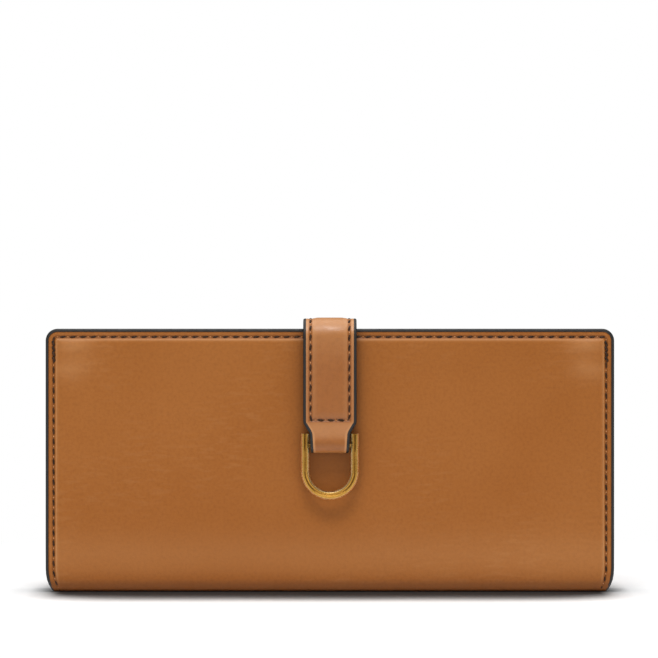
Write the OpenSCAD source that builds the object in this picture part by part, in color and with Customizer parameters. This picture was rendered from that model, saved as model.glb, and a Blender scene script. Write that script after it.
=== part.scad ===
// Long bifold wallet with a strap over its opening edge and a brass pull ring on the strap.
// X runs along the wallet, -Y is the front, +Z is up. The origin is the middle of the flat
// spine that the closed wallet stands on. Millimetres.

/* [Wallet] */
// Length of the closed wallet
wallet_l = 190; // [184:1:196]
// Height from the spine to the opening edge
wallet_h = 88; // [86:1:92]
// Thickness of the closed wallet
wallet_t = 15; // [14.6:0.1:16]
// Thickness of the outer leather
leather_t = 1.2; // [1.1:0.05:1.3]
// Radius of the two upper corners
corner_r = 4; // [3:0.5:8]
// Radius that draws the lower corners in towards the spine
foot_r = 17; // [14:0.5:24]
// Radius of the folds along the spine
fold_r = 4.5; // [4:0.1:5]

/* [Linings and pockets] */
// Thickness of the stiffening boards
board_t = 0.6; // [0.5:0.05:0.6]
// Thickness of linings, pocket panels and card strips
sheet_t = 0.5; // [0.4:0.05:0.5]
// Width of the sewn margin around boards and pockets
margin = 3; // [2:0.5:4]
// Height of the top of the upper card strip
card_top = 76; // [70:1:80]
// Step between the tops of two card strips
card_step = 11; // [8:1:13]

/* [Strap] */
// Width of the strap
strap_w = 17.8; // [16:0.2:22]
// Thickness of the strap's outer leather
strap_face_t = 1.2; // [1:0.1:1.2]
// Thickness of the strap's backing
strap_back_t = 1.0; // [0.8:0.1:1]
// Height of the strap's top over the opening edge
strap_rise = 3.4; // [3.4:0.1:5]
// Gap between the strap and the front cover
strap_gap = 2.7; // [2.5:0.1:3.5]
// Height of the strap's sewn end on the back
strap_foot_z = 43; // [30:1:60]
// Height at which the strap begins to narrow
strap_taper_z = 56.7; // [55:0.1:60]
// Width of the loop that holds the ring
loop_w = 12.4; // [12:0.1:13]

/* [Ring] */
// Outer width of the ring
ring_w = 19.2; // [18:0.1:21]
// Width of the ring's bar
ring_bar = 2.7; // [2.6:0.1:2.8]
// Height of the tops of the ring's arms
ring_top_z = 53.1; // [52:0.1:53.2]
// Height of the lowest point of the ring
ring_foot_z = 31.2; // [28:0.1:34]
// Height of the pin through the strap's loop
pin_z = 49.05; // [48.5:0.05:49.5]
// Radius of the pin
pin_r = 0.8; // [0.7:0.05:0.8]

/* [Zip] */
// Height of the coin pocket's zip
zip_z = 69; // [66:0.5:70]
// Length of the row of teeth
zip_l = 150; // [130:5:156]
// Distance from one tooth to the next
tooth_pitch = 2.5; // [2:0.5:4]
// Length of the zip's pull
pull_l = 14; // [10:1:15]

/* [Hidden] */
$fn = 64;

tan_leather = [0.62, 0.39, 0.20];
dark_leather = [0.24, 0.14, 0.08];
lining_cloth = [0.20, 0.15, 0.11];
board_grey = [0.55, 0.52, 0.47];
old_brass = [0.67, 0.50, 0.22];

half_t = wallet_t / 2;
skin = half_t - leather_t;          // inner face of the outer leather, from the middle
board_in = skin - board_t;          // inner face of a board
lining_in = board_in - sheet_t;     // inner face of a lining
foot_z = 8;                         // height at which the sides begin to draw in
lining_inset = 0.8;
pocket_inset = 1.2;
pocket_bottom = 6;
mitre_gap = 0.04;                   // clearance in the fold of the front cover

coin_top = 79;
coin_back_y = lining_in - 2 * sheet_t;
panel_y = 2.65;                     // front face of the coin pocket's front panels
tape_y = panel_y + sheet_t;
tape_t = 0.3;
tape_l = wallet_l - 12;
tooth_h = 0.75;
chain_gap = 0.25;                   // from the zip's centre line to each row of teeth
slider_half_h = 2.3;
slider_l = 9;
slider_x = 68;
plate_gap = 0.1;
zip_pin_y = 1.35;
zip_pin_r = 0.35;

strap_t = strap_face_t + strap_back_t;
strap_top = wallet_h + strap_rise;
back_bend_r = 3.4;
back_bend = [half_t + strap_t - back_bend_r, wallet_h];
front_bend_r = 6.5;
front_bend = [-half_t - strap_gap - strap_t + front_bend_r, strap_top - front_bend_r];
tab_y = -half_t - strap_gap - strap_t;      // front face of the hanging tab

pin_y = tab_y + 0.5;
loop_r = pin_r + 1.55;
loop_bore_r = pin_r + 0.08;
ring_r = ring_w / 2;
ring_bend_z = ring_foot_z + ring_r;
ring_t = 2.5;
pin_l = ring_w - 2.4;

magnet = [12, 1.2, 11];
magnet_z = 60;
patch_t = 0.8;

// Outline of the wallet seen from the front, drawn in by inset
module outline_2d(inset, bottom, top, top_r) {
    half = wallet_l / 2 - inset;
    foot = foot_r - inset;
    intersection() {
        union() {
            translate([-half, foot_z]) square([2 * half, top - top_r - foot_z]);
            translate([top_r - half, foot_z]) square([2 * (half - top_r), top - foot_z]);
            translate([foot - half, foot_z - foot]) square([2 * (half - foot), foot]);
            for (side = [-1, 1]) {
                translate([side * (half - top_r), top - top_r]) circle(top_r);
                translate([side * (half - foot), foot_z]) circle(foot);
            }
        }
        translate([-half, bottom]) square([2 * half, top - bottom]);
    }
}

// A flat sheet of that outline, from y to y + t
module sheet(y, t, inset = 0, bottom = 0, top = wallet_h, top_r = corner_r) {
    translate([0, y + t, 0])
        rotate([90, 0, 0])
            linear_extrude(t)
                outline_2d(inset, bottom, top, top_r);
}

// Extrudes a section drawn in (y, z) along X, centred
module along_x(length) {
    translate([-length / 2, 0, 0])
        rotate([90, 0, 90])
            linear_extrude(length)
                children();
}

// Section of a block with two rounded lower edges, drawn in by d
module folded_block_2d(d) {
    half = half_t - d;
    r = fold_r - d;
    translate([-half, fold_r]) square([2 * half, wallet_h - fold_r + d]);
    translate([r - half, d]) square([2 * (half - r), wallet_h]);
    for (side = [-1, 1])
        translate([side * (half - r), fold_r]) circle(r);
}

// Everything in front of the mitre through the front fold
module front_side_2d() {
    c = fold_r - half_t;
    polygon([[c, fold_r], [c - fold_r, 0], [-2 * wallet_t, 0],
             [-2 * wallet_t, 2 * wallet_h], [c, 2 * wallet_h]]);
}

module shell_2d() {
    difference() {
        folded_block_2d(0);
        folded_block_2d(leather_t);
    }
}

module back_cover() {
    color(tan_leather)
        intersection() {
            along_x(wallet_l)
                difference() {
                    shell_2d();
                    translate([mitre_gap, -mitre_gap]) front_side_2d();
                }
            sheet(-half_t, wallet_t);
        }
}

module front_cover() {
    color(tan_leather)
        intersection() {
            along_x(wallet_l)
                intersection() {
                    shell_2d();
                    front_side_2d();
                }
            sheet(-half_t, wallet_t);
        }
}

// Stiffening board between y and y + board_t
module board(y) {
    sheet(y, board_t, margin, fold_r + margin, wallet_h - margin);
}

module back_board() {
    color(board_grey) board(board_in);
}

module catch_plate() {
    color("silver")
        translate([-7, -skin, magnet_z - 1])
            cube([14, 0.4, magnet[2] + 2]);
}

module front_board() {
    color(board_grey)
        difference() {
            board(-skin);
            translate([-7, -skin, magnet_z - 1]) cube([14, 0.4, magnet[2] + 2]);
        }
}

// A lining with a turned edge that closes round its board
module back_lining() {
    color(lining_cloth)
        difference() {
            sheet(lining_in, sheet_t + board_t, lining_inset, fold_r + 0.5, wallet_h - lining_inset);
            board(board_in);
        }
}

module front_lining() {
    color(lining_cloth)
        difference() {
            sheet(-skin, sheet_t + board_t, lining_inset, fold_r + 0.5, wallet_h - lining_inset);
            board(-skin);
        }
}

module spine_lining() {
    color(lining_cloth)
        translate([3 - wallet_l / 2, fold_r - half_t, leather_t])
            cube([wallet_l - 6, wallet_t - 2 * fold_r, sheet_t]);
}

module slip_panel() {
    color(dark_leather)
        sheet(-lining_in, sheet_t, pocket_inset, pocket_bottom, 82, 2);
}

// Card strip number n, counted from the slip panel towards the middle
module card_strip(n) {
    color(dark_leather)
        sheet(-lining_in + n * sheet_t, sheet_t, pocket_inset, pocket_bottom,
              card_top - (n - 1) * card_step, 1);
}

module bill_panel() {
    color(dark_leather)
        sheet(lining_in - sheet_t, sheet_t, pocket_inset, pocket_bottom, 82, 2);
}

// Back of the coin pocket with the sewn edge that carries its front panels
module coin_pocket_back() {
    color(dark_leather)
        difference() {
            sheet(tape_y, coin_back_y + sheet_t - tape_y, pocket_inset, pocket_bottom, coin_top, 2);
            sheet(tape_y - 1, coin_back_y - tape_y + 1, pocket_inset + margin,
                  pocket_bottom + margin, coin_top - margin, 2);
        }
}

module coin_front_lower() {
    color(dark_leather)
        sheet(panel_y, sheet_t, pocket_inset, pocket_bottom, zip_z - slider_half_h - 0.3, 1);
}

module coin_front_upper() {
    color(dark_leather)
        difference() {
            sheet(panel_y, sheet_t, pocket_inset, pocket_bottom, coin_top, 2);
            translate([-wallet_l, 0, 0])
                cube([2 * wallet_l, wallet_t, zip_z + slider_half_h + 0.3]);
        }
}

// One side of the zip: side is -1 below the centre line and 1 above it
module zip_tape(side) {
    color([0.16, 0.10, 0.06])
        translate([-tape_l / 2, tape_y, zip_z + (side > 0 ? chain_gap + tooth_h : -7)])
            cube([tape_l, tape_t, 7 - chain_gap - tooth_h - (side > 0 ? 0.5 : 0)]);
}

module zip_teeth(side) {
    count = floor(zip_l / tooth_pitch);
    shift = side * tooth_pitch / 4;
    color(old_brass)
        for (i = [0 : count])
            translate([(i - count / 2) * tooth_pitch + shift - 0.6, panel_y + 0.1,
                       zip_z + (side > 0 ? chain_gap : -chain_gap - tooth_h)])
                cube([1.2, 0.8, tooth_h]);
}

module zip_stops() {
    color(old_brass)
        for (end = [-1, 1])
            translate([end * (zip_l / 2 + 3) - 0.75, panel_y + 0.1, zip_z - 1])
                cube([1.5, 0.5, 2]);
}

// Sewn end of the strap on the back, from y to y + t
module strap_end(y, t) {
    r = 3;
    translate([0, y + t, 0])
        rotate([90, 0, 0])
            linear_extrude(t)
                union() {
                    translate([-strap_w / 2, strap_foot_z + r])
                        square([strap_w, wallet_h - strap_foot_z - r]);
                    translate([r - strap_w / 2, strap_foot_z]) square([strap_w - 2 * r, r]);
                    for (side = [-1, 1])
                        translate([side * (strap_w / 2 - r), strap_foot_z + r]) circle(r);
                }
}

module strap_end_leather() {
    color(tan_leather) strap_end(half_t + strap_back_t, strap_face_t);
}

module strap_end_backing() {
    color(tan_leather) strap_end(half_t, strap_back_t);
}

// Area under the strap's arch, drawn in by d
module arch_2d(d) {
    translate([front_bend[0], front_bend[1]])
        square([back_bend[0] - front_bend[0], strap_top - d - front_bend[1]]);
    intersection() {
        translate(front_bend) circle(front_bend_r - d);
        translate([front_bend[0] - front_bend_r, front_bend[1]]) square(front_bend_r);
    }
    intersection() {
        translate(back_bend) circle(back_bend_r - d);
        translate(back_bend) square(back_bend_r);
    }
}

module bridge(d, t) {
    along_x(strap_w)
        difference() {
            arch_2d(d);
            arch_2d(d + t);
        }
}

module bridge_leather() {
    color(tan_leather) bridge(0, strap_face_t);
}

module bridge_backing() {
    color(tan_leather) bridge(strap_face_t, strap_back_t);
}

// Front outline of the tab, narrowing to the loop
module tab_front_2d() {
    waist = ring_r - ring_bar - 0.15;
    polygon([[-strap_w / 2, front_bend[1]], [-strap_w / 2, strap_taper_z],
             [-waist, ring_top_z + 0.2], [-loop_w / 2, pin_z - 2 * loop_r],
             [loop_w / 2, pin_z - 2 * loop_r], [waist, ring_top_z + 0.2],
             [strap_w / 2, strap_taper_z], [strap_w / 2, front_bend[1]]]);
}

// Side outline of the tab's outer leather, with the loop folded round the pin
module tab_side_2d() {
    translate([tab_y, strap_taper_z]) square([strap_face_t, front_bend[1] - strap_taper_z]);
    polygon([[tab_y, strap_taper_z], [pin_y - loop_r, pin_z + 1], [pin_y - loop_r, pin_z],
             [pin_y + loop_r, pin_z], [pin_y + loop_r, pin_z + 1],
             [tab_y + strap_t, strap_taper_z]]);
    translate([pin_y, pin_z]) circle(loop_r);
}

module tab_leather() {
    color(tan_leather)
        difference() {
            intersection() {
                along_x(strap_w) tab_side_2d();
                rotate([90, 0, 0])
                    linear_extrude(4 * wallet_t) tab_front_2d();
            }
            along_x(wallet_l) translate([pin_y, pin_z]) circle(loop_bore_r);
        }
}

module tab_backing() {
    color(tan_leather)
        translate([-strap_w / 2, tab_y + strap_face_t, strap_taper_z])
            cube([strap_w, strap_back_t, front_bend[1] - strap_taper_z]);
}

module tab_magnet() {
    color("dimgray")
        translate([-magnet[0] / 2, tab_y + strap_t, magnet_z])
            cube(magnet);
}

module magnet_patch() {
    color(tan_leather)
        translate([-magnet[0] / 2 - 1, tab_y + strap_t + magnet[1], magnet_z - 1])
            cube([magnet[0] + 2, patch_t, magnet[2] + 2]);
}

// Section of the ring's bar: a bevelled outer band, a groove and a lower inner rim
module ring_bar_2d() {
    t = ring_t / 2;
    inner = ring_r - ring_bar;
    side = [[ring_r, 0.45 * t], [ring_r - 0.42, 0.92 * t], [ring_r - 1.05, t],
            [ring_r - 1.5, 0.66 * t], [inner + 0.72, 0.84 * t], [inner + 0.3, 0.7 * t],
            [inner, 0.35 * t]];
    back = [for (i = [len(side) - 1 : -1 : 0]) [side[i][0], -side[i][1]]];
    polygon(concat(side, back));
}

module pull_ring() {
    color(old_brass)
        difference() {
            translate([0, pin_y, ring_bend_z]) {
                rotate([-90, 0, 0]) rotate_extrude(angle = 180) ring_bar_2d();
                for (side = [0, 1])
                    mirror([side, 0, 0])
                        linear_extrude(ring_top_z - ring_bend_z) ring_bar_2d();
            }
            along_x(pin_l) translate([pin_y, pin_z]) circle(pin_r);
        }
}

module ring_pin() {
    color(old_brass) along_x(pin_l) translate([pin_y, pin_z]) circle(pin_r);
}

module zip_slider() {
    color(old_brass)
        translate([slider_x, 0, zip_z]) {
            translate([-slider_l / 2, panel_y - plate_gap - 0.4, -slider_half_h])
                cube([slider_l, 0.4, 2 * slider_half_h]);
            translate([-slider_l / 2, tape_y + tape_t + 0.2, -slider_half_h])
                cube([slider_l, 0.45, 2 * slider_half_h]);
            translate([slider_l / 2 - 3.5, panel_y - plate_gap - 0.01, -0.15])
                cube([3, tape_y + tape_t + 0.22 - panel_y + plate_gap, 0.3]);
            for (side = [-1, 1])
                translate([-0.8, zip_pin_y - 0.5, side * 1.75 - 0.25])
                    cube([1.6, panel_y - plate_gap - 0.39 - zip_pin_y + 0.5, 0.5]);
            translate([0, zip_pin_y, -1.9]) cylinder(r = zip_pin_r, h = 3.8);
        }
}

module zip_pull() {
    eye_r = 0.75;
    color(old_brass)
        translate([slider_x, zip_pin_y, zip_z])
            difference() {
                union() {
                    translate([0, 0, -1.4]) cylinder(r = eye_r, h = 2.8);
                    translate([-2.6, -0.3, -1.4]) cube([2.6, 0.6, 2.8]);
                    translate([2 - pull_l, -0.3, -2]) cube([pull_l - 4.4, 0.6, 4]);
                    translate([2 - pull_l, 0.3, 0]) rotate([90, 0, 0]) cylinder(r = 2, h = 0.6);
                }
                translate([0, 0, -2]) cylinder(r = zip_pin_r + 0.07, h = 4);
            }
}

back_cover();
back_board();
back_lining();
spine_lining();
bill_panel();
coin_pocket_back();
coin_front_lower();
coin_front_upper();
zip_tape(-1);  // zip_tape_lower
zip_tape(1);  // zip_tape_upper
zip_teeth(-1);  // zip_teeth_lower
zip_teeth(1);  // zip_teeth_upper
zip_stops();
strap_end_leather();
strap_end_backing();
front_cover();
front_board();
front_lining();
catch_plate();
slip_panel();
card_strip(1);  // card_strip_1
card_strip(2);  // card_strip_2
card_strip(3);  // card_strip_3
card_strip(4);  // card_strip_4
bridge_leather();
bridge_backing();
tab_leather();
tab_backing();
tab_magnet();
magnet_patch();
pull_ring();
ring_pin();
zip_slider();
zip_pull();
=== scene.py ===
import math
import random

import bmesh
import bpy
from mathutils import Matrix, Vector


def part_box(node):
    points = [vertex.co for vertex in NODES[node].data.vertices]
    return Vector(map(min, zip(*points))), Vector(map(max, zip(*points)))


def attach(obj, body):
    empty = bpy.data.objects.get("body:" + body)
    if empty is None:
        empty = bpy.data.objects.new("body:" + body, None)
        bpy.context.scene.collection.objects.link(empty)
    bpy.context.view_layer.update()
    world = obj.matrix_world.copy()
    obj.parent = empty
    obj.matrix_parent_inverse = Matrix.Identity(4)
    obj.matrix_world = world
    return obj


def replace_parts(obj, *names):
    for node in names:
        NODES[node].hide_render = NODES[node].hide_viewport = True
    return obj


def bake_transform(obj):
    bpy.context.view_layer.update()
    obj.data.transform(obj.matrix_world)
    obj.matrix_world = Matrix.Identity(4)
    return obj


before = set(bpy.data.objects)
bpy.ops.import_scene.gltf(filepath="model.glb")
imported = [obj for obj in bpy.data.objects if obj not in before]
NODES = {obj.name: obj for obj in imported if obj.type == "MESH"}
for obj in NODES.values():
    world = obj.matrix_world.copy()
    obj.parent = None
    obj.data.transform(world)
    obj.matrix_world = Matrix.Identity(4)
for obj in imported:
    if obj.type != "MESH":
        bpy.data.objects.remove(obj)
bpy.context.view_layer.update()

MM = 0.001
rng = random.Random(7)


# ---------------------------------------------------------------- sizes, in millimetres

def box_mm(node):
    """Lowest and highest corner of a CAD node, in millimetres."""
    low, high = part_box(node)
    return low / MM, high / MM


COVER_LOW, COVER_HIGH = box_mm("front_cover")
HALF_L = COVER_HIGH.x                    # half the wallet's length
HALF_T = -COVER_LOW.y                    # half its thickness
TOP_Z = COVER_HIGH.z
CORNER_R = 4.0
FOOT_R = 17.0                            # arc that draws the sides in towards the spine
FOOT_Z = 8.0
FOLD_R = 4.5                             # of the spine's fold, outside
LEATHER_T = 1.2

STRAP_LOW, STRAP_HIGH = box_mm("bridge_leather")
STRAP_HALF_W = STRAP_HIGH.x
STRAP_TOP = STRAP_HIGH.z
STRAP_BACK_Y = STRAP_HIGH.y
STRAP_FRONT_Y = STRAP_LOW.y
STRAP_END_Z = box_mm("strap_end_leather")[0].z
STRAP_FACE_T = 1.2
STRAP_BACKING_T = 1.0
BACK_BEND_R = 3.4
FRONT_BEND_R = 6.5
TAPER_Z = box_mm("tab_backing")[0].z
LOOP_HALF_W = 6.2                        # of the strap's loop round the pin
PIN = (box_mm("ring_pin")[0] + box_mm("ring_pin")[1]) / 2
LOOP_R = 2.35
RING_LOW, RING_HIGH = box_mm("pull_ring")
RING_BAR = 2.7                           # width of its bar

SEAM_INSET = 2.75                        # from the outline to the covers' seam
STITCH_PITCH = 3.4
STRAP_SEAM = 2.45                        # from the strap's side to its seam
STRAP_PITCH = 3.38
INNER_PITCH = 2.8

# Thread, and the small raised bits of leather between two stitches that it pulls up; these are
# coloured lighter, as a painted glint.
COVER_STITCH = dict(length=2.55, radius=0.31, depth=0.14, slant=0.17)
COVER_PULL = dict(length=0.75, radius=0.22, depth=0.15, slant=0.12)
TACK_STITCH = dict(length=2.3, radius=0.42, depth=-0.05, slant=0.5)
STRAP_STITCH = dict(length=2.6, radius=0.34, depth=0.1, slant=0.2)
STRAP_PULL = dict(length=0.9, radius=0.28, depth=0.12, slant=0.12)
INNER_STITCH = dict(length=2.1, radius=0.2, depth=0.04, slant=0.12)


# ---------------------------------------------------------------- small maths

def smooth(low, high, value):
    t = min(max((value - low) / (high - low), 0.0), 1.0)
    return t * t * (3 - 2 * t)


def bump(value, centre, width):
    return math.exp(-((value - centre) / width) ** 2)


def between(table, value):
    """Linear interpolation in a short list of (position, value) pairs."""
    for (a, va), (b, vb) in zip(table, table[1:]):
        if value <= b:
            return va + (vb - va) * min(max((value - a) / (b - a), 0.0), 1.0)
    return table[-1][1]


class Path:
    """A route in the (y, z) plane by arc length, with the outward normal on its right."""

    step = 0.1

    def __init__(self, pieces, soften=0):
        points = []
        for piece in pieces:
            points += self.sample(*piece)
        for _ in range(soften):
            inner = [
                tuple((a[i] + 2 * b[i] + c[i]) / 4 for i in (0, 1))
                for a, b, c in zip(points, points[1:], points[2:])
            ]
            points = [points[0]] + inner + [points[-1]]
        self.points = points
        self.at = [0.0]
        for a, b in zip(points, points[1:]):
            self.at.append(self.at[-1] + math.dist(a, b))
        self.length = self.at[-1]

    def sample(self, kind, *data):
        """Points along a line (from, to) or an arc (centre, radius, first and last degrees)."""
        if kind == "line":
            a, b = data
            count = max(int(math.dist(a, b) / self.step), 1)
            return [
                (a[0] + (b[0] - a[0]) * i / count, a[1] + (b[1] - a[1]) * i / count)
                for i in range(count)
            ]
        centre, radius, start, stop = data
        count = max(int(abs(math.radians(stop - start)) * radius / self.step), 8)
        angles = [math.radians(start + (stop - start) * i / count) for i in range(count)]
        return [
            (centre[0] + radius * math.cos(a), centre[1] + radius * math.sin(a)) for a in angles
        ]

    def place(self, s):
        """(y, z, normal y, normal z) at arc length s."""
        s = min(max(s, 0.0), self.length)
        low, high = 0, len(self.at) - 1
        while high - low > 1:
            mid = (low + high) // 2
            if self.at[mid] <= s:
                low = mid
            else:
                high = mid
        t = (s - self.at[low]) / (self.at[high] - self.at[low])
        a, b = self.points[low], self.points[high]
        before = self.points[max(low - 1, 0)]
        after = self.points[min(high + 1, len(self.points) - 1)]
        dy, dz = after[0] - before[0], after[1] - before[1]
        size = math.hypot(dy, dz)
        return (a[0] + (b[0] - a[0]) * t, a[1] + (b[1] - a[1]) * t, dz / size, -dy / size)


# A placing function turns (x, s, n) into a point in metres: x across, s along, n below the face.

def on_path(path):
    def place(x, s, n):
        y, z, ny, nz = path.place(s)
        return Vector((x, y - ny * n, z - nz * n)) * MM
    return place


def on_plane(y, out):
    """On a flat sheet at y whose outer face looks along out * Y; s is the height."""
    def place(x, s, n):
        return Vector((x, y - out * n, s)) * MM
    return place


# ---------------------------------------------------------------- mesh makers

def add_mesh(name, vertices, faces, material, body=None, shade=None, slot=None):
    mesh = bpy.data.meshes.new(name)
    mesh.from_pydata([tuple(v) for v in vertices], [], faces)
    obj = bpy.data.objects.new(name, mesh)
    bpy.context.scene.collection.objects.link(obj)
    work = bmesh.new()
    work.from_mesh(mesh)
    bmesh.ops.recalc_face_normals(work, faces=work.faces)
    work.to_mesh(mesh)
    work.free()
    for polygon in mesh.polygons:
        polygon.use_smooth = True
    if shade:
        layer = mesh.attributes.new("shade", "FLOAT", "POINT")
        layer.data.foreach_set("value", shade)
    mesh.materials.append(material)
    if body:
        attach(obj, body)
    return obj


def join(vertices, faces, more, quads):
    """Adds one more piece of mesh to the lists."""
    faces += [tuple(len(vertices) + v for v in quad) for quad in quads]
    vertices += more


def plain_relief(x, s):
    return 0.0, 0.0


def sheet_mesh(place, rows, columns, thickness, relief):
    """A closed sheet: rows are s values, columns(s) x values, relief(x, s) height and shade."""
    outer, inner, faces, shade = [], [], [], []
    wide = len(columns(rows[0]))
    for s in rows:
        for x in columns(s):
            height, tone = relief(x, s)
            outer.append(place(x, s, -height))
            inner.append(place(x, s, thickness))
            shade.append(tone)
    count = len(outer)
    for i in range(len(rows) - 1):
        for j in range(wide - 1):
            a = i * wide + j
            quad = (a, a + 1, a + wide + 1, a + wide)
            faces.append(quad)
            faces.append(tuple(count + v for v in reversed(quad)))
    rim = list(range(wide))
    rim += [i * wide + wide - 1 for i in range(1, len(rows))]
    rim += [(len(rows) - 1) * wide + j for j in range(wide - 2, -1, -1)]
    rim += [i * wide for i in range(len(rows) - 2, 0, -1)]
    for a, b in zip(rim, rim[1:] + rim[:1]):
        faces.append((a, b, b + count, a + count))
    return outer + inner, faces, shade + [0.0] * count


def bead_mesh(place, outline, section):
    """Sweeps section, (outward, depth) points, along an outline of (x, s, outward x, outward s)."""
    vertices, faces = [], []
    size = len(section)
    for x, s, ox, os in outline:
        for out, depth in section:
            vertices.append(place(x + ox * out, s + os * out, depth))
    for i in range(len(outline) - 1):
        for j in range(size):
            k = (j + 1) % size
            faces.append((i * size + j, i * size + k, (i + 1) * size + k, (i + 1) * size + j))
    faces.append(tuple(range(size)))
    faces.append(tuple(reversed(range(len(vertices) - size, len(vertices)))))
    return vertices, faces


def bead_section(wide, thick, proud=0.04):
    """A painted edge: flat behind, rounded outside, a little proud of the faces."""
    turns = 9
    points = [(-wide, 0.12), (-wide * 0.97, -proud * 0.5)]
    for i in range(turns + 1):
        angle = math.pi * (i / turns - 0.5)
        out = -wide * 0.72 * (1 - math.cos(angle) ** 0.62 if math.cos(angle) > 1e-6 else 1)
        points.append((out, thick / 2 + (thick / 2 + proud) * math.sin(angle)))
    points += [(-wide * 0.97, thick + proud * 0.5), (-wide, thick - 0.12)]
    return points


def walk(route, pitch, phase=0.0):
    """Points every pitch along a polyline: (x, s, tangent x, tangent s)."""
    lengths = [math.dist(a, b) for a, b in zip(route, route[1:])]
    total = sum(lengths)
    count = int((total - phase) / pitch)
    found, segment, passed = [], 0, 0.0
    for i in range(count + 1):
        wanted = phase + i * pitch
        while segment < len(lengths) - 1 and passed + lengths[segment] < wanted:
            passed += lengths[segment]
            segment += 1
        a, b = route[segment], route[segment + 1]
        t = (wanted - passed) / lengths[segment]
        found.append((a[0] + (b[0] - a[0]) * t, a[1] + (b[1] - a[1]) * t,
                      (b[0] - a[0]) / lengths[segment], (b[1] - a[1]) / lengths[segment]))
    return found


def stitch_mesh(place, stations, length, radius, depth, slant):
    """Waxed thread: one plump stitch at each station, its ends diving into the leather."""
    vertices, faces = [], []
    rings, sides = 7, 8
    for x, s, tx, ts in stations:
        first = len(vertices)
        lean = slant + rng.uniform(-0.05, 0.05)
        plump = radius * rng.uniform(0.93, 1.06)
        ax = tx * math.cos(lean) - ts * math.sin(lean)
        a_s = tx * math.sin(lean) + ts * math.cos(lean)
        for i in range(rings):
            t = i / (rings - 1) * 2 - 1
            along = t * length / 2
            thick = plump * (1 - abs(t) ** 3 * 0.55)
            dive = depth + 0.5 * abs(t) ** 3
            for j in range(sides):
                angle = 2 * math.pi * j / sides
                across = thick * math.cos(angle)
                vertices.append(place(x + ax * along - a_s * across,
                                      s + a_s * along + ax * across,
                                      dive - thick * 0.8 * math.sin(angle)))
        for i in range(rings - 1):
            for j in range(sides):
                k = (j + 1) % sides
                a = first + i * sides
                faces.append((a + j, a + k, a + sides + k, a + sides + j))
        faces.append(tuple(first + j for j in reversed(range(sides))))
        faces.append(tuple(first + (rings - 1) * sides + j for j in range(sides)))
    return vertices, faces


# ---------------------------------------------------------------- materials

class Shader:
    """A node material with helpers that return sockets."""

    def __init__(self, name, **principled):
        self.material = bpy.data.materials.new(name)
        self.material.use_nodes = True
        self.nodes = self.material.node_tree.nodes
        self.links = self.material.node_tree.links
        self.out = self.nodes["Principled BSDF"]
        for key, value in principled.items():
            self.out.inputs[key.replace("_", " ")].default_value = value
        self.coordinates = self.nodes.new("ShaderNodeTexCoord").outputs["Object"]

    def axis(self, letter):
        node = self.nodes.new("ShaderNodeSeparateXYZ")
        self.links.new(self.coordinates, node.inputs[0])
        return node.outputs[letter]

    def scaled(self, x, y, z):
        node = self.nodes.new("ShaderNodeMapping")
        node.inputs["Scale"].default_value = (x, y, z)
        self.links.new(self.coordinates, node.inputs["Vector"])
        return node.outputs["Vector"]

    def noise(self, scale, detail=4.0, rough=0.5, stretch=(1, 1, 1)):
        node = self.nodes.new("ShaderNodeTexNoise")
        node.inputs["Scale"].default_value = scale
        node.inputs["Detail"].default_value = detail
        node.inputs["Roughness"].default_value = rough
        self.links.new(self.scaled(*stretch), node.inputs["Vector"])
        return node.outputs["Fac"]

    def cells(self, scale, stretch=(1, 1, 1)):
        node = self.nodes.new("ShaderNodeTexVoronoi")
        node.inputs["Scale"].default_value = scale
        self.links.new(self.scaled(*stretch), node.inputs["Vector"])
        return node.outputs["Distance"]

    def wave(self, scale, direction, distortion=0.0):
        node = self.nodes.new("ShaderNodeTexWave")
        node.bands_direction = direction
        node.inputs["Scale"].default_value = scale
        node.inputs["Distortion"].default_value = distortion
        self.links.new(self.coordinates, node.inputs["Vector"])
        return node.outputs["Fac"]

    def attribute(self, name):
        node = self.nodes.new("ShaderNodeAttribute")
        node.attribute_name = name
        return node.outputs["Fac"]

    def openness(self, reach):
        """1 where nothing is within reach metres, less in gaps and beside walls."""
        node = self.nodes.new("ShaderNodeAmbientOcclusion")
        node.samples = 16
        node.inputs["Distance"].default_value = reach
        return node.outputs["AO"]

    def math(self, operation, a, b=0.0):
        node = self.nodes.new("ShaderNodeMath")
        node.operation = operation
        for socket, value in zip(node.inputs, (a, b)):
            if isinstance(value, (int, float)):
                socket.default_value = value
            else:
                self.links.new(value, socket)
        return node.outputs[0]

    def between(self, fac, low, high, to_low=0.0, to_high=1.0):
        node = self.nodes.new("ShaderNodeMapRange")
        node.inputs["From Min"].default_value = low
        node.inputs["From Max"].default_value = high
        node.inputs["To Min"].default_value = to_low
        node.inputs["To Max"].default_value = to_high
        self.links.new(fac, node.inputs["Value"])
        return node.outputs["Result"]

    def mix(self, fac, a, b, blend="MIX"):
        node = self.nodes.new("ShaderNodeMix")
        node.data_type = "RGBA"
        node.blend_type = blend
        for socket, value in ((node.inputs[0], fac), (node.inputs[6], a), (node.inputs[7], b)):
            if isinstance(value, (int, float)):
                socket.default_value = value
            elif isinstance(value, tuple):
                socket.default_value = (*value, 1.0)
            else:
                self.links.new(value, socket)
        return node.outputs[2]

    def colour(self, socket):
        self.links.new(socket, self.out.inputs["Base Color"])

    def roughness(self, socket):
        self.links.new(socket, self.out.inputs["Roughness"])

    def relief(self, *layers):
        """layers are (height socket, distance in metres, strength)."""
        normal = None
        for height, distance, strength in layers:
            node = self.nodes.new("ShaderNodeBump")
            node.inputs["Distance"].default_value = distance
            node.inputs["Strength"].default_value = strength
            self.links.new(height, node.inputs["Height"])
            if normal:
                self.links.new(normal, node.inputs["Normal"])
            normal = node.outputs["Normal"]
        self.links.new(normal, self.out.inputs["Normal"])


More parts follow.
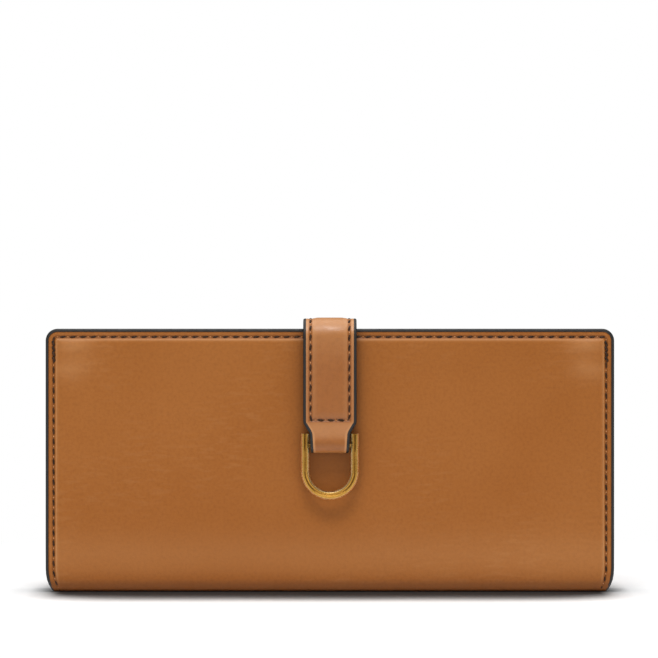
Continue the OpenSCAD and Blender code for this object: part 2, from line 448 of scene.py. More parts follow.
def leather(name, deep, middle, light, worn_and_lit, rough, shine=0.3):
    """Full-grain leather: faint mottling, fine pebble, patches of short wrinkles, painted light and
    shade from the shade attribute along seams and elsewhere, painted shade in crevices.
    """
    s = Shader(name, Specular_IOR_Level=shine)
    cloud = s.between(s.noise(20, 3, 0.5), 0.3, 0.7, 0.0, 0.40)
    fleck = s.between(s.noise(900, 3, 0.6), 0.42, 0.72, 0.0, 0.20)
    patch = s.between(s.noise(26, 2, 0.5), 0.46, 0.62)
    lines = s.noise(34, 3, 0.5, (5, 12, 22))
    colour = s.mix(cloud, middle, light)
    colour = s.mix(fleck, colour, deep)
    creased = s.math("MULTIPLY", patch, s.between(lines, 0.50, 0.70, 0.0, 0.07))
    colour = s.mix(creased, colour, worn_and_lit)
    # Painted light and shade from the mesh's shade attribute: above 0 a painted highlight towards
    # the lightest colour, below 0 painted shade towards the deep one.
    shade = s.attribute("shade")
    colour = s.mix(s.between(shade, 0.0, 1.0), colour, worn_and_lit)
    colour = s.mix(s.between(shade, 0.0, -1.0), colour, deep)
    # Painted shade: darker where ambient occlusion finds surfaces close by, in seams, gaps and
    # under the strap.
    crevice_painted_shade = s.between(s.openness(0.012), 0.90, 0.40, 0.0, 0.50)
    s.colour(s.mix(crevice_painted_shade, colour, deep))
    s.roughness(s.between(s.noise(300, 4, 0.6), 0.3, 0.7, rough - 0.05, rough + 0.09))
    s.relief((s.cells(1700), 0.00008, 0.25), (s.noise(3200, 3, 0.6), 0.00005, 0.2),
             (s.math("MULTIPLY", patch, lines), 0.00030, 0.12),
             (s.noise(40, 2, 0.5), 0.0012, 0.20))
    return s.material


def woven(name, dark, light, scale):
    """Cloth with warp and weft ribs."""
    s = Shader(name, Roughness=0.85, Sheen_Weight=0.15)
    warp, weft = s.wave(scale, "X", 0.4), s.wave(scale * 0.8, "Z", 0.4)
    thread = s.math("MAXIMUM", warp, weft)
    dust = s.between(s.noise(160, 4, 0.6), 0.35, 0.7, 0.0, 0.5)
    s.colour(s.mix(dust, s.mix(thread, dark, light), light))
    s.relief((thread, 0.0002, 0.6), (s.noise(2600, 2, 0.5), 0.00008, 0.3))
    return s.material


def ring_rims(s):
    """1 on the outer and inner edges of the ring's bar, 0 along its middle."""
    x, z = s.axis("X"), s.axis("Z")
    bend_z = (RING_LOW.z + RING_HIGH.x) * MM
    below = s.math("MINIMUM", s.math("SUBTRACT", z, bend_z), 0.0)
    squares = s.math("ADD", s.math("MULTIPLY", x, x), s.math("MULTIPLY", below, below))
    middle_r = (RING_HIGH.x - RING_BAR / 2) * MM
    away = s.math("ABSOLUTE", s.math("SUBTRACT", s.math("SQRT", squares), middle_r))
    return s.between(away, 0.80 * MM, 1.02 * MM)


def metal(name, deep, bright, rough, scratch=0.25, rims=None):
    """Cast and tumbled metal: patina in soft patches, fine handling scratches, and lighter rims
    where asked for, a painted highlight that is partly polished wear.
    """
    s = Shader(name, Metallic=1.0)
    patina = s.between(s.noise(180, 4, 0.6), 0.3, 0.7)
    hair = s.noise(90, 4, 0.7, (30, 3, 6))
    colour = s.mix(patina, deep, bright)
    # Painted highlight, partly polished wear: lighter brass along the rims.
    if rims:
        colour = s.mix(rims(s), colour, POLISHED_AND_LIT_BRASS)
    s.colour(colour)
    s.roughness(s.between(s.noise(420, 4, 0.6), 0.3, 0.7, rough - 0.03, rough + 0.05))
    s.relief((hair, 0.00003, scratch))
    return s.material


def edge_paint():
    s = Shader("edge_paint", Specular_IOR_Level=0.5)
    wear = s.between(s.noise(380, 4, 0.6), 0.58, 0.76, 0.0, 0.4)
    s.colour(s.mix(wear, (0.0050, 0.0045, 0.0042), (0.022, 0.013, 0.008)))
    s.roughness(s.between(s.noise(500, 3, 0.5), 0.3, 0.7, 0.45, 0.62))
    s.relief((s.noise(900, 3, 0.6), 0.00012, 0.3), (s.noise(170, 2, 0.5), 0.0003, 0.25))
    return s.material


def waxed_thread(name, dark, light):
    s = Shader(name, Roughness=0.5, Specular_IOR_Level=0.2)
    ply = s.noise(2200, 2, 0.5, (1, 1, 0.4))
    s.colour(s.mix(s.between(ply, 0.35, 0.65), dark, light))
    s.relief((ply, 0.00012, 0.5))
    return s.material


def fibre_board():
    s = Shader("fibre_board", Roughness=0.9)
    fibre = s.noise(120, 5, 0.7, (6, 1, 20))
    s.colour(s.mix(fibre, (0.33, 0.27, 0.20), (0.52, 0.46, 0.37)))
    s.relief((fibre, 0.0001, 0.4))
    return s.material


def magnet_rubber():
    s = Shader("magnet_rubber", Roughness=0.75)
    grit = s.noise(1500, 3, 0.6)
    s.colour(s.mix(grit, (0.014, 0.014, 0.015), (0.035, 0.034, 0.033)))
    s.relief((grit, 0.00008, 0.4))
    return s.material


# Lighter brass for the ring's rims: a painted highlight, partly polished wear.
POLISHED_AND_LIT_BRASS = (0.940, 0.690, 0.340)
TAN_DEEP, TAN = (0.120, 0.034, 0.005), (0.310, 0.098, 0.013)
# The lightest tan serves worn creases and painted highlights alike.
TAN_LIGHT, TAN_WORN_AND_LIT = (0.400, 0.150, 0.034), (0.640, 0.330, 0.140)
DARK_DEEP, DARK = (0.018, 0.008, 0.004), (0.055, 0.024, 0.011)
DARK_LIGHT, DARK_WORN = (0.085, 0.040, 0.019), (0.130, 0.066, 0.034)
cover_skin = leather("cover_leather", TAN_DEEP, TAN, TAN_LIGHT, TAN_WORN_AND_LIT, 0.48, 0.22)
strap_skin = leather("strap_leather", TAN_DEEP, TAN, TAN_LIGHT, TAN_WORN_AND_LIT, 0.38, 0.5)
pocket_skin = leather("pocket_leather", DARK_DEEP, DARK, DARK_LIGHT, DARK_WORN, 0.46)
# Lighter leather for the bits pulled up between stitches: a painted glint.
pulled_glint_skin = leather("pulled_glint_leather", TAN, TAN_LIGHT, TAN_WORN_AND_LIT, TAN_WORN_AND_LIT, 0.32, 0.5)
lining_cloth = woven("lining_twill", (0.016, 0.009, 0.006), (0.050, 0.030, 0.019), 900)
tape_cloth = woven("zip_tape_weave", (0.012, 0.006, 0.003), (0.040, 0.021, 0.011), 1400)
ring_brass = metal("ring_brass", (0.370, 0.188, 0.032), (0.510, 0.282, 0.062), 0.27, 0.02,
                   ring_rims)
# The pin's brass is darkened: painted shade where the strap's loop wraps it.
shaded_pin_brass = metal("shaded_pin_brass", (0.100, 0.050, 0.010), (0.190, 0.105, 0.030), 0.34)
zip_brass = metal("zip_brass", (0.300, 0.160, 0.030), (0.520, 0.310, 0.080), 0.28)
plate_steel = metal("plate_steel", (0.35, 0.35, 0.35), (0.60, 0.60, 0.61), 0.35)
paint = edge_paint()
thread = waxed_thread("waxed_thread", (0.014, 0.006, 0.002), (0.060, 0.024, 0.009))
inner_thread = waxed_thread("inner_thread", (0.110, 0.050, 0.020), (0.260, 0.130, 0.055))

CAD_LOOKS = {
    lining_cloth: ("back_lining", "front_lining", "spine_lining"),
    pocket_skin: ("coin_pocket_back",),
    tape_cloth: ("zip_tape_lower", "zip_tape_upper"),
    zip_brass: ("zip_teeth_lower", "zip_teeth_upper", "zip_stops", "zip_slider", "zip_pull"),
    ring_brass: ("pull_ring",),
    shaded_pin_brass: ("ring_pin",),
    fibre_board(): ("back_board", "front_board"),
    magnet_rubber(): ("tab_magnet",),
    plate_steel: ("catch_plate",),
    strap_skin: ("magnet_patch",),
}
for look, names in CAD_LOOKS.items():
    for name in names:
        node = NODES[name]
        node.data.materials.clear()
        node.data.materials.append(look)


# ---------------------------------------------------------------- covers

def half_width(z):
    """Half the wallet's length at height z, below the upper corners."""
    if z >= FOOT_Z:
        return HALF_L
    return HALF_L - FOOT_R + math.sqrt(FOOT_R ** 2 - (FOOT_Z - z) ** 2)


# From the middle of the spine's underside, round the fold and up to the opening edge.
COVER_PATH = Path([
    ("line", (0, 0), (FOLD_R - HALF_T, 0)),
    ("arc", (FOLD_R - HALF_T, FOLD_R), FOLD_R, 270, 180),
    ("line", (-HALF_T, FOLD_R), (-HALF_T, TOP_Z)),
    ("line", (-HALF_T, TOP_Z), (-HALF_T, TOP_Z + 0.01)),
])
COVER_TOP = COVER_PATH.length
FOLD_END = COVER_TOP - (TOP_Z - FOLD_R)


def place_cover(flip):
    """Front cover at flip 1, back cover at -1. The path's normal points in, so depth is turned."""
    def place(x, s, n):
        y, z, ny, nz = COVER_PATH.place(s)
        return Vector((x, flip * (y + ny * n), z + nz * n)) * MM
    return place


def cover_edge(s):
    """Half width of the cover's outline at arc length s, corners included."""
    rest = COVER_TOP - s
    if rest < CORNER_R:
        return HALF_L - CORNER_R + math.sqrt(max(CORNER_R ** 2 - (CORNER_R - rest) ** 2, 0.0))
    return half_width(COVER_PATH.place(s)[1])


def edge_distance(x, s):
    """How far a point of the cover is inside its outline."""
    side = half_width(COVER_PATH.place(s)[1]) - abs(x)
    top = COVER_TOP - s
    if side < CORNER_R and top < CORNER_R:
        return CORNER_R - math.hypot(CORNER_R - side, CORNER_R - top)
    return min(side, top)


def sway(x, s, seed):
    """Slow unevenness of hand-worked leather, about 0.1 mm."""
    return (math.sin(x * 0.061 + seed) * math.sin(s * 0.083 + 2 * seed)
            + 0.6 * math.sin(x * 0.137 + s * 0.071 + seed)) * 0.07


def cover_relief(seed):
    """Flat at the painted edge, sunk along the seam, padded inside it, puckered at the corners; its
    tone is painted light and shade.
    """
    def relief(x, s):
        inside = edge_distance(x, s)
        height = -0.16 + 0.16 * smooth(1.0, 1.8, inside)
        height -= 0.30 * bump(inside, SEAM_INSET, 0.48)
        height += 0.42 * smooth(2.6, 4.6, inside) - 0.16 * smooth(5.0, 16.0, inside)
        height += sway(x, s, seed) * smooth(4.0, 12.0, inside)
        reach, drop = HALF_L - abs(x), COVER_TOP - s
        puff = math.exp(-((reach - 9.5) / 6.0) ** 2 - ((drop - 5.6) / 2.4) ** 2)
        puff += 0.9 * math.exp(-((reach - 8.0) / 6.5) ** 2 - ((drop - 13.0) / 3.6) ** 2)
        tuck = math.exp(-((reach - 6.0) / 4.0) ** 2 - ((drop - 9.4) / 0.9) ** 2)
        height += (0.45 * puff - 0.22 * tuck) * smooth(2.9, 5.0, inside)
        fold = smooth(FOLD_END + 1.5, FOLD_END - 4.5, s)
        # Tone is painted light and shade: a painted highlight just inside the seam and on the
        # corner puffs, painted shade in the seam groove and the tuck, darker next to the edge
        # paint, a painted reflection of the floor above the fold, and painted shade over the fold.
        tone = 0.38 * bump(inside, SEAM_INSET + 0.85, 0.40) - 0.65 * bump(inside, SEAM_INSET, 0.5)
        tone += (0.24 * puff - 0.16 * tuck) * smooth(3.0, 4.5, inside)
        tone += -0.25 * smooth(1.7, 1.0, inside) + 0.12 * bump(s, FOLD_END + 8, 7)
        tone = tone * (1 - fold) - 0.17 * fold
        return min(height * (1 - fold), 0.8 * (1 - fold)), max(min(tone, 1.0), -1.0)
    return relief


# Distances of the cover's closely set columns and rows from its outline.
EDGE_STEPS = (0.82, 1.15, 1.5, 1.85, 2.05, 2.25, 2.45, 2.65, 2.85, 3.05, 3.3, 3.65, 4.1, 4.7, 5.5,
              6.6, 8.2, 10.5, 13.5, 17.5)
MIDDLE_COLUMNS = 46
SKIN_IN = EDGE_STEPS[0]                  # the painted edge covers the rest


def cover_columns(s):
    rest = COVER_TOP - s
    if rest < CORNER_R:
        r = CORNER_R - SKIN_IN
        edge = HALF_L - CORNER_R + math.sqrt(max(r * r - (CORNER_R - rest) ** 2, 0.0))
    else:
        edge = half_width(COVER_PATH.place(s)[1]) - SKIN_IN
    near = [edge - (d - SKIN_IN) for d in EDGE_STEPS]
    inner = near[-1]
    middle = [inner * (1 - 2 * i / MIDDLE_COLUMNS) for i in range(1, MIDDLE_COLUMNS)]
    return [-x for x in near] + [-x for x in middle] + near[::-1]


def cover_rows():
    rows = [0.0, 1.5] + [3 + i * (FOLD_END - 3) / 14 for i in range(15)]
    low, high = FOLD_END, COVER_TOP - EDGE_STEPS[-1]
    rows += [low + (high - low) * i / 24 for i in range(1, 24)]
    return rows + [COVER_TOP - d for d in reversed(EDGE_STEPS)]


def outline_route(inset):
    """(x, s, outward x, outward s) from the spine up one side, over the top and down the other."""
    r = CORNER_R - inset
    side, side_steps, turns, top_steps = [], 46, 10, 20
    for i in range(side_steps):
        s = (COVER_TOP - CORNER_R) * i / side_steps
        if s > FOLD_END + 6 and i % 3:
            continue
        slope = (cover_edge(s + 0.05) - cover_edge(max(s - 0.05, 0))) / 0.1
        size = math.hypot(1, slope)
        side.append((cover_edge(s) - inset / size, s + inset * slope / size,
                     1 / size, -slope / size))
    corner = []
    for i in range(turns + 1):
        a = math.pi / 2 * i / turns
        corner.append((HALF_L - CORNER_R + r * math.cos(a),
                       COVER_TOP - CORNER_R + r * math.sin(a), math.cos(a), math.sin(a)))
    top = [(HALF_L * (1 - 2 * i / top_steps) * 0.9, COVER_TOP - inset, 0, 1)
           for i in range(top_steps + 1)]
    right = side + corner
    left = [(-x, s, -ox, os) for x, s, ox, os in reversed(right)]
    return right + top + left


def cover_seam(phase):
    """Stations along the seam, inset from the outline; none underneath, on the table."""
    route = [(x, s) for x, s, _, _ in outline_route(SEAM_INSET)]
    return [station for station in walk(route, STITCH_PITCH, phase) if station[1] > 4.5]


def cover_tacks():
    """The doubled stretches of the seam near its upper ends."""
    stations = []
    for end in (-1, 1):
        x = end * (HALF_L - SEAM_INSET)
        stations += walk([(x + 0.15, COVER_TOP - 10.6), (x - 0.1, COVER_TOP - 3.8)], 1.75, 0.4)
    return stations


def make_cover(label, flip, seed, node, body):
    place = place_cover(flip)
    vertices, faces, shade = sheet_mesh(place, cover_rows(), cover_columns, LEATHER_T,
                                        cover_relief(seed))
    skin = add_mesh(label + "_cover_skin", vertices, faces, cover_skin, None, shade,
                    "cover_leather")
    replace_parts(skin, node)
    edge = add_mesh(label + "_painted_edge",
                    *bead_mesh(place, outline_route(0.0), bead_section(1.02, 1.75)), paint)
    seam = add_mesh(label + "_cover_seam",
                    *stitch_mesh(place, cover_seam(0.0), **COVER_STITCH), thread)
    tack = add_mesh(label + "_cover_tacks",
                    *stitch_mesh(place, cover_tacks(), **TACK_STITCH), thread)
    # The pulled-up bits between stitches, in lighter leather as a painted glint.
    glint_pulls = add_mesh(label + "_cover_seam_pull_glints",
                     *stitch_mesh(place, cover_seam(STITCH_PITCH / 2), **COVER_PULL),
                     pulled_glint_skin)
    for piece in (skin, edge, seam, tack, glint_pulls):
        if body == "back":
            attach(piece, "back")
        else:
            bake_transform(piece)


def make_fold_lining(label, flip):
    """Twill that lines one half of the spine and its fold, up to the cover's own lining."""
    cover = place_cover(flip)
    top = FOLD_END + 0.4

    def place(x, s, n):
        return cover(x, s, LEATHER_T + 0.4 - n)

    def columns(s):
        edge = cover_edge(s) - 1.6
        return [edge * (2 * i / 60 - 1) for i in range(61)]

    rows = [top * i / 24 for i in range(25)]
    vertices, faces, shade = sheet_mesh(place, rows, columns, 0.34, plain_relief)
    return add_mesh(label + "_fold_lining", vertices, faces, lining_cloth, None, shade, "lining")


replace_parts(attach(make_fold_lining("back", -1), "back"), "spine_lining")
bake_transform(make_fold_lining("front", 1))
make_cover("front", 1, 1.3, "front_cover", "front")
make_cover("back", -1, 4.1, "back_cover", "back")


# ---------------------------------------------------------------- strap

BRIDGE_BACK = STRAP_BACK_Y - BACK_BEND_R
BRIDGE_FRONT = STRAP_FRONT_Y + FRONT_BEND_R
FLAP_Y = STRAP_FRONT_Y + STRAP_FACE_T + STRAP_BACKING_T + STRAP_FACE_T


def strap_path(inset, soften, loop):
    """Outer face of the strap's layer at that inset, from its sewn end to the loop."""
    back_y, front_y = STRAP_BACK_Y - inset, STRAP_FRONT_Y + inset
    pieces = [
        ("line", (back_y, STRAP_END_Z), (back_y, STRAP_TOP - BACK_BEND_R)),
        ("arc", (BRIDGE_BACK, STRAP_TOP - BACK_BEND_R), BACK_BEND_R - inset, 0, 90),
        ("line", (BRIDGE_BACK, STRAP_TOP - inset), (BRIDGE_FRONT, STRAP_TOP - inset)),
        ("arc", (BRIDGE_FRONT, STRAP_TOP - FRONT_BEND_R), FRONT_BEND_R - inset, 90, 180),
    ]
    if loop:
        pieces += [
            ("line", (front_y, STRAP_TOP - FRONT_BEND_R), (front_y, TAPER_Z)),
            ("line", (front_y, TAPER_Z), (PIN.y - LOOP_R, PIN.z + 1.2)),
            ("line", (PIN.y - LOOP_R, PIN.z + 1.2), (PIN.y - LOOP_R, PIN.z)),
            ("arc", (PIN.y, PIN.z), LOOP_R, 180, 360),
            ("line", (PIN.y + LOOP_R, PIN.z), (PIN.y + LOOP_R, PIN.z + 1.0)),
            ("line", (PIN.y + LOOP_R, PIN.z + 1.0), (FLAP_Y, TAPER_Z)),
            ("line", (FLAP_Y, TAPER_Z), (FLAP_Y, TAPER_Z + 1.8)),
        ]
    else:
        pieces.append(("line", (front_y, STRAP_TOP - FRONT_BEND_R), (front_y, TAPER_Z + 0.3)))
    return Path(pieces, soften)


FACE_PATH = strap_path(0.0, soften=30, loop=True)
BACKING_PATH = strap_path(STRAP_FACE_T, soften=10, loop=False)


def arc_at(path, y_wanted=None, z_wanted=None):
    """Arc length where the path first comes down past a height on its front half, or past a y."""
    for s, (y, z) in zip(path.at, path.points):
        if y_wanted is not None and y <= y_wanted:
            return s
        if z_wanted is not None and y < -HALF_T and z <= z_wanted:
            return s
    return path.length


FACE_SPLIT = arc_at(FACE_PATH, y_wanted=0.0)
BACKING_SPLIT = arc_at(BACKING_PATH, y_wanted=0.0)
TAPER_S = arc_at(FACE_PATH, z_wanted=TAPER_Z)
LOOP_S = arc_at(FACE_PATH, z_wanted=PIN.z)
FRONT_BEND_S = arc_at(FACE_PATH, z_wanted=STRAP_TOP - 2.6)
WAIST_Z = RING_HIGH.z + 0.2              # the strap passes between the ring's arms below this
WAIST_HALF_W = LOOP_HALF_W + 0.55
STRAP_WIDTHS = (                         # half widths by height
    (WAIST_Z - 8.95, LOOP_HALF_W), (WAIST_Z, WAIST_HALF_W),
    (TAPER_Z - 0.9, STRAP_HALF_W - 0.65), (TAPER_Z - 0.2, STRAP_HALF_W - 0.14),
    (TAPER_Z + 0.6, STRAP_HALF_W),
)
SEAM_END = arc_at(FACE_PATH, z_wanted=TAPER_Z + 0.95)
SEAM_START = STRAP_SEAM


def strap_half(s):
    """Half the strap's width: it narrows towards the loop and stays narrow behind it."""
    if s < TAPER_S - 1:
        return STRAP_HALF_W
    wide = between(STRAP_WIDTHS, FACE_PATH.place(s)[1])
    return wide if s < LOOP_S else min(wide, WAIST_HALF_W)


STRAP_STEPS = (0.55, 0.9, 1.3, 1.65, 1.95, 2.2, 2.45, 2.7, 2.95, 3.3, 3.9, 4.9, 6.6)


def strap_columns(s):
    half = strap_half(s)
    shrink = half / STRAP_HALF_W
    near = [half - d * shrink for d in STRAP_STEPS]
    return [-x for x in near] + [0.0] + near[::-1]


def strap_relief(x, s):
    """Sunk seam round a padded field; tone is painted shade in the seam, lighter along the sides, a
    painted highlight on the front bend, painted light and shade on the tab.
    """
    inside = strap_half(s) - abs(x)
    sewn = smooth(SEAM_START - 1, SEAM_START, s) * smooth(SEAM_END + 0.6, SEAM_END, s)
    height = -0.12 + 0.12 * smooth(0.5, 1.3, inside)
    groove = bump(inside, STRAP_SEAM, 0.45) * sewn
    for end in (SEAM_START, SEAM_END):
        if abs(x) < STRAP_HALF_W - STRAP_SEAM:
            groove = max(groove, bump(s, end, 0.45))
    height -= 0.26 * groove
    open_field = smooth(SEAM_START, SEAM_START + 2.6, s) * smooth(SEAM_END, SEAM_END - 2.6, s)
    height += 0.34 * smooth(STRAP_SEAM, 5.2, inside) * open_field
    # Tone is painted light and shade: painted shade in the seam groove, lighter along the sides, a
    # painted highlight on the front bend and just inside the seam, painted light on the tab below
    # the seam and painted shade on its lower part by the loop.
    below = smooth(SEAM_END + 0.3, SEAM_END + 1.2, s)
    bend_highlight = bump(s, FRONT_BEND_S - 2.5, 4.5)
    bend_highlight += 0.6 * smooth(FRONT_BEND_S + 15, FRONT_BEND_S, s)
    tone = -0.7 * groove + 0.22 * smooth(2.0, 1.3, inside) + 0.22 * below + 0.24 * bend_highlight
    tone += 0.16 * bump(inside, 3.5, 0.5) * sewn * (1 - below)
    tone -= 0.42 * bump(s, LOOP_S - 0.4, 2.2) * below * smooth(1.2, 2.0, inside)
    return height, max(min(tone, 1.0), -1.0)


def strap_outline(start, stop, steps):
    """Right edge from start to stop, as an outline for the painted bead."""
    found = []
    for i in range(steps + 1):
        s = start + (stop - start) * i / steps
        slope = (strap_half(s + 0.05) - strap_half(s - 0.05)) / 0.1
        size = math.hypot(1, slope)
        found.append((strap_half(s), s, 1 / size, -slope / size))
    return found


def rounded_loop(half, low, high, r, turns=5):
    """Closed rounded rectangle in (x, s)."""
    route = []
    for cx, cs, start in ((half - r, high - r, 0), (r - half, high - r, 90),
                          (r - half, low + r, 180), (half - r, low + r, 270)):
        for i in range(turns + 1):
            a = math.radians(start + 90 * i / turns)
            route.append((cx + r * math.cos(a), cs + r * math.sin(a)))
    return route + route[:1]


def strap_stations(start, stop, phase):
    """Stations of the strap's seam on its length from start to stop."""
    loop = rounded_loop(STRAP_HALF_W - STRAP_SEAM, SEAM_START, SEAM_END, 1.1)
    return [at for at in walk(loop, STRAP_PITCH, phase) if start + 1.3 < at[1] < stop - 1.3]


def strap_pieces(label, start, stop, backing_start, backing_stop, sections):
    """One length of the strap: outer leather, backing, painted edges and its part of the seam."""
    place, place_backing = on_path(FACE_PATH), on_path(BACKING_PATH)
    backing_sections = 44
    rows = [start + (stop - start) * i / sections for i in range(sections + 1)]
    near_ends = [end + d for end in (SEAM_START, SEAM_END)
                 for d in (-0.7, -0.45, -0.2, 0, 0.2, 0.45, 0.7)]
    rows = sorted(set(rows + [s for s in near_ends if start < s < stop]))
    vertices, faces, shade = sheet_mesh(place, rows, strap_columns, STRAP_FACE_T, strap_relief)
    made = [add_mesh(label + "_strap_leather", vertices, faces, strap_skin, None, shade,
                     "strap_leather")]

    def backing_columns(s):
        wide = STRAP_HALF_W - 0.5
        return [wide * (2 * i / 12 - 1) for i in range(13)]

    backing_rows = [backing_start + (backing_stop - backing_start) * i / backing_sections
                    for i in range(backing_sections + 1)]
    vertices, faces, shade = sheet_mesh(place_backing, backing_rows, backing_columns,
                                        STRAP_BACKING_T, plain_relief)
    made.append(add_mesh(label + "_strap_backing", vertices, faces, strap_skin, None, shade,
                         "strap_leather"))
    vertices, faces = [], []
    for side in (-1, 1):
        for path_place, first, last, thick, steps in (
                (place, start, stop, STRAP_FACE_T, sections),
                (place_backing, backing_start, backing_stop, STRAP_BACKING_T, backing_sections)):
            outline = strap_outline(first, last, steps)
            if path_place is place_backing:
                outline = [(STRAP_HALF_W, s, 1, 0) for _, s, _, _ in outline]
            outline = [(side * x, s, side * ox, os) for x, s, ox, os in outline]
            join(vertices, faces,
                 *bead_mesh(path_place, outline, bead_section(0.95, thick, 0.02)))
    made.append(add_mesh(label + "_strap_painted_edge", vertices, faces, paint))
    seam = strap_stations(start, stop, 0.0)
    made.append(add_mesh(label + "_strap_seam", *stitch_mesh(place, seam, **STRAP_STITCH), thread))
    # The pulled-up bits between stitches, in lighter leather as a painted glint.
    glint_pulls = strap_stations(start, stop, STRAP_PITCH / 2)
    made.append(add_mesh(label + "_strap_seam_pull_glints", *stitch_mesh(place, glint_pulls, **STRAP_PULL),
                         pulled_glint_skin))
    return made


for piece in strap_pieces("back", 0.0, FACE_SPLIT, 0.0, BACKING_SPLIT, 60):
    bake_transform(piece)
    if piece.name == "back_strap_leather":
        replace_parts(piece, "strap_end_leather", "bridge_leather")
    if piece.name == "back_strap_backing":
        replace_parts(piece, "strap_end_backing", "bridge_backing")
for piece in strap_pieces("front", FACE_SPLIT, FACE_PATH.length, BACKING_SPLIT,
                          BACKING_PATH.length, 90):
    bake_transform(piece)
    if piece.name == "front_strap_leather":
        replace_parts(piece, "tab_leather")
    if piece.name == "front_strap_backing":
        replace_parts(piece, "tab_backing")


# ---------------------------------------------------------------- pockets

def pocket_sheet(node, body, out):
    """A turned-edge pocket panel in place of a plain CAD sheet; out is the way its face looks."""
    low, high = box_mm(node)
    face_y, thick = (high.y, high.y - low.y) if out > 0 else (low.y, high.y - low.y)
    inset = HALF_L - high.x
    steps = (0.0, 0.12, 0.3, 0.6, 1.0, 1.5, 1.9, 2.2, 2.5, 2.9, 3.6, 5.0, 8.0)
    tall = high.z - low.z

    def columns(s):
        edge = half_width(s) - inset
        near = [edge - d for d in steps]
        middle = [near[-1] * (1 - 2 * i / 30) for i in range(1, 30)]
        return [-x for x in near] + [-x for x in middle] + near[::-1]

    def relief(x, s):
        top = high.z - s
        inside = min(half_width(s) - inset - abs(x), top, (s - low.z) + 1.0)
        height = -thick * 0.45 * (1 - smooth(0.0, 0.6, inside))
        crease = bump(top, 2.2, 0.3)
        height -= 0.10 * crease
        # Tone: painted shade in the crease under the top edge, and darker at the very edge.
        return height, max(-0.8 * crease - 0.3 * smooth(0.8, 0.0, inside), -1.0)

    used = [d for d in steps if d < tall * 0.45]
    span = tall - used[-1]
    rows = [low.z + span * i / 12 for i in range(12)] + [high.z - d for d in reversed(used)]
    vertices, faces, shade = sheet_mesh(on_plane(face_y, out), rows, columns, thick, relief)
    piece = add_mesh(node + "_panel", vertices, faces, pocket_skin, body, shade, "pocket_leather")
    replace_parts(piece, node)


FRONT_SHEETS = ("slip_panel", "card_strip_1", "card_strip_2", "card_strip_3", "card_strip_4")
for sheet_node in FRONT_SHEETS:
    pocket_sheet(sheet_node, "front", 1)
for sheet_node in ("bill_panel", "coin_front_lower", "coin_front_upper"):
    pocket_sheet(sheet_node, "back", -1)


def inner_seams(name, body, seams):
    """Fine stitching inside, along (placing function, route) pairs, as one mesh."""
    vertices, faces = [], []
    for place, route in seams:
        stations = walk(route, INNER_PITCH, INNER_PITCH / 2)
        join(vertices, faces, *stitch_mesh(place, stations, **INNER_STITCH))
    add_mesh(name, vertices, faces, inner_thread, body)


def level(z, inset):
    """A route along the wallet at height z that stops short of its ends."""
    return [(-HALF_L + inset, z), (HALF_L - inset, z)]


STRIP_TOPS = [box_mm(name)[1].z for name in FRONT_SHEETS] + [box_mm("card_strip_4")[0].z + 1.5]
front_seams = []
for name, top, bottom in zip(FRONT_SHEETS, STRIP_TOPS, STRIP_TOPS[1:]):
    for x in (-HALF_L + 3.4, 0, HALF_L - 3.4):
        if x or name != "slip_panel":    # only the card slots have a seam down their middle
            route = [(x, bottom + 0.2), (x, top - 0.4)]
            front_seams.append((on_plane(box_mm(name)[1].y, 1), route))
front_seams.append((on_plane(box_mm("front_lining")[1].y, 1), level(TOP_Z - SEAM_INSET, 4)))
inner_seams("front_inner_seams", "front", front_seams)

zip_face = on_plane(box_mm("coin_front_lower")[0].y, -1)
inner_seams("back_inner_seams", "back", [
    (on_plane(box_mm("back_lining")[0].y, -1), level(TOP_Z - SEAM_INSET, 4)),
    (zip_face, level(box_mm("coin_front_lower")[1].z - 1.6, 8)),
    (zip_face, level(box_mm("coin_front_upper")[0].z + 1.6, 8)),
])


# ---------------------------------------------------------------- floor, light and camera

# In metres.
VIEW_W = 0.2197                          # width of the view at the front cover
EYE_Z = 0.0879
CAMERA_D = 0.90
CONTACT_REACH = 0.044                    # how far the wallet darkens the paper
ENDS_FROM, ENDS_TO = 0.090, 0.101        # where the shadow fades past the wallet's ends
WHITE_FROM, WHITE_TO = 0.10, 0.24        # where the paper turns plain white
GLOW = 0.34                              # strength of the even light from all sides


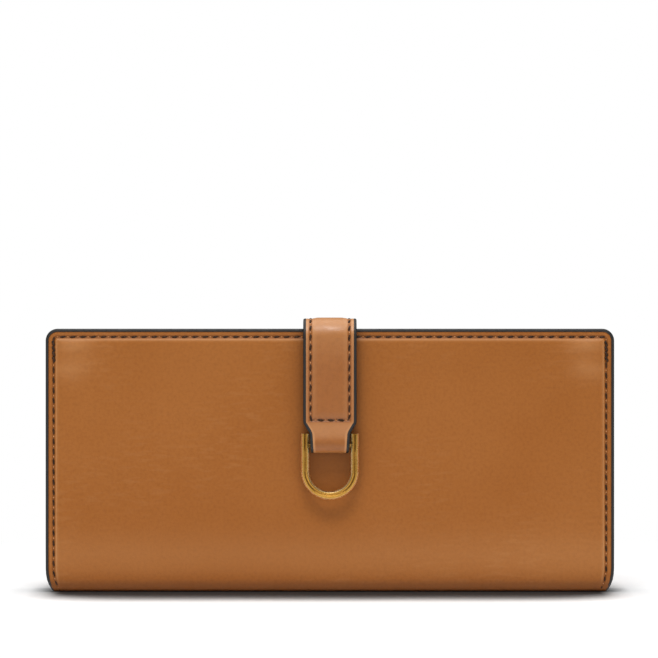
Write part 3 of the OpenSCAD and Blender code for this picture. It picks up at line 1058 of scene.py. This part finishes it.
def floor():
    """White paper with a soft contact shadow that is weaker past the wallet's ends."""
    s = Shader("floor_paper", Roughness=0.9)
    open_sky = s.math("POWER", s.between(s.openness(CONTACT_REACH), 0.63, 0.92), 2.3)
    seen = s.nodes.new("ShaderNodeLightPath").outputs["Is Camera Ray"]
    past_end = s.between(s.math("ABSOLUTE", s.axis("X")), ENDS_FROM, ENDS_TO)
    depth = s.math("SUBTRACT", 1.0, s.math("MULTIPLY", past_end, 0.72))
    shadow = s.math("MULTIPLY", s.math("MULTIPLY", seen, depth),
                    s.math("SUBTRACT", 1.0, open_sky))
    s.colour(s.mix(shadow, (0.95, 0.95, 0.95), (0.008, 0.007, 0.006)))
    # Further out the paper is seen as plain white, and so has no horizon.
    reach = s.nodes.new("ShaderNodeVectorMath")
    reach.operation = "LENGTH"
    s.links.new(s.coordinates, reach.inputs[0])
    far = s.math("MULTIPLY", s.between(reach.outputs["Value"], WHITE_FROM, WHITE_TO), seen)
    white = s.nodes.new("ShaderNodeEmission")
    fade = s.nodes.new("ShaderNodeMixShader")
    s.links.new(far, fade.inputs["Fac"])
    s.links.new(s.out.outputs["BSDF"], fade.inputs[1])
    s.links.new(white.outputs["Emission"], fade.inputs[2])
    s.links.new(fade.outputs["Shader"], s.nodes["Material Output"].inputs["Surface"])
    bpy.ops.mesh.primitive_plane_add(size=12, location=(0, 0, 0))
    plane = bpy.context.object
    plane.name = "floor"
    plane.data.materials.append(s.material)


def area_light(name, place, target, size, power):
    data = bpy.data.lights.new(name, "AREA")
    data.shape = "RECTANGLE"
    data.size, data.size_y = size
    data.energy = power
    light = bpy.data.objects.new(name, data)
    bpy.context.scene.collection.objects.link(light)
    light.location = place
    light.rotation_euler = (Vector(target) - Vector(place)).to_track_quat("-Z", "Y").to_euler()


floor()
area_light("overhead", (0.0, 0.05, 0.9), (0, 0, 0.0), (1.4, 0.9), 7.0)
area_light("key", (-0.05, -0.62, 1.0), (0, 0, 0.05), (0.6, 0.25), 7.2)
area_light("front_fill", (-0.4, -1.5, 0.5), (0, 0, 0.04), (1.2, 1.2), 0.7)
world = bpy.data.worlds.new("studio")
bpy.context.scene.world = world
world.use_nodes = True
sky = world.node_tree
backdrop = sky.nodes["Background"]       # what the camera sees behind the object: plain white
backdrop.inputs["Color"].default_value = (1, 1, 1, 1)
glow = sky.nodes.new("ShaderNodeBackground")
glow.inputs["Color"].default_value = (1, 1, 1, 1)
glow.inputs["Strength"].default_value = GLOW
chooser = sky.nodes.new("ShaderNodeMixShader")
ray = sky.nodes.new("ShaderNodeLightPath")
sky.links.new(ray.outputs["Is Camera Ray"], chooser.inputs["Fac"])
sky.links.new(glow.outputs["Background"], chooser.inputs[1])
sky.links.new(backdrop.outputs["Background"], chooser.inputs[2])
sky.links.new(chooser.outputs["Shader"], sky.nodes["World Output"].inputs["Surface"])
bpy.context.scene.view_settings.view_transform = "Standard"

camera_data = bpy.data.cameras.new("camera")
camera_data.lens = camera_data.sensor_width * CAMERA_D / VIEW_W
camera = bpy.data.objects.new("camera", camera_data)
bpy.context.scene.collection.objects.link(camera)
camera.location = (-0.0003, -HALF_T * MM - CAMERA_D, EYE_Z)
camera.rotation_euler = (math.radians(90), 0, 0)
bpy.context.scene.camera = camera
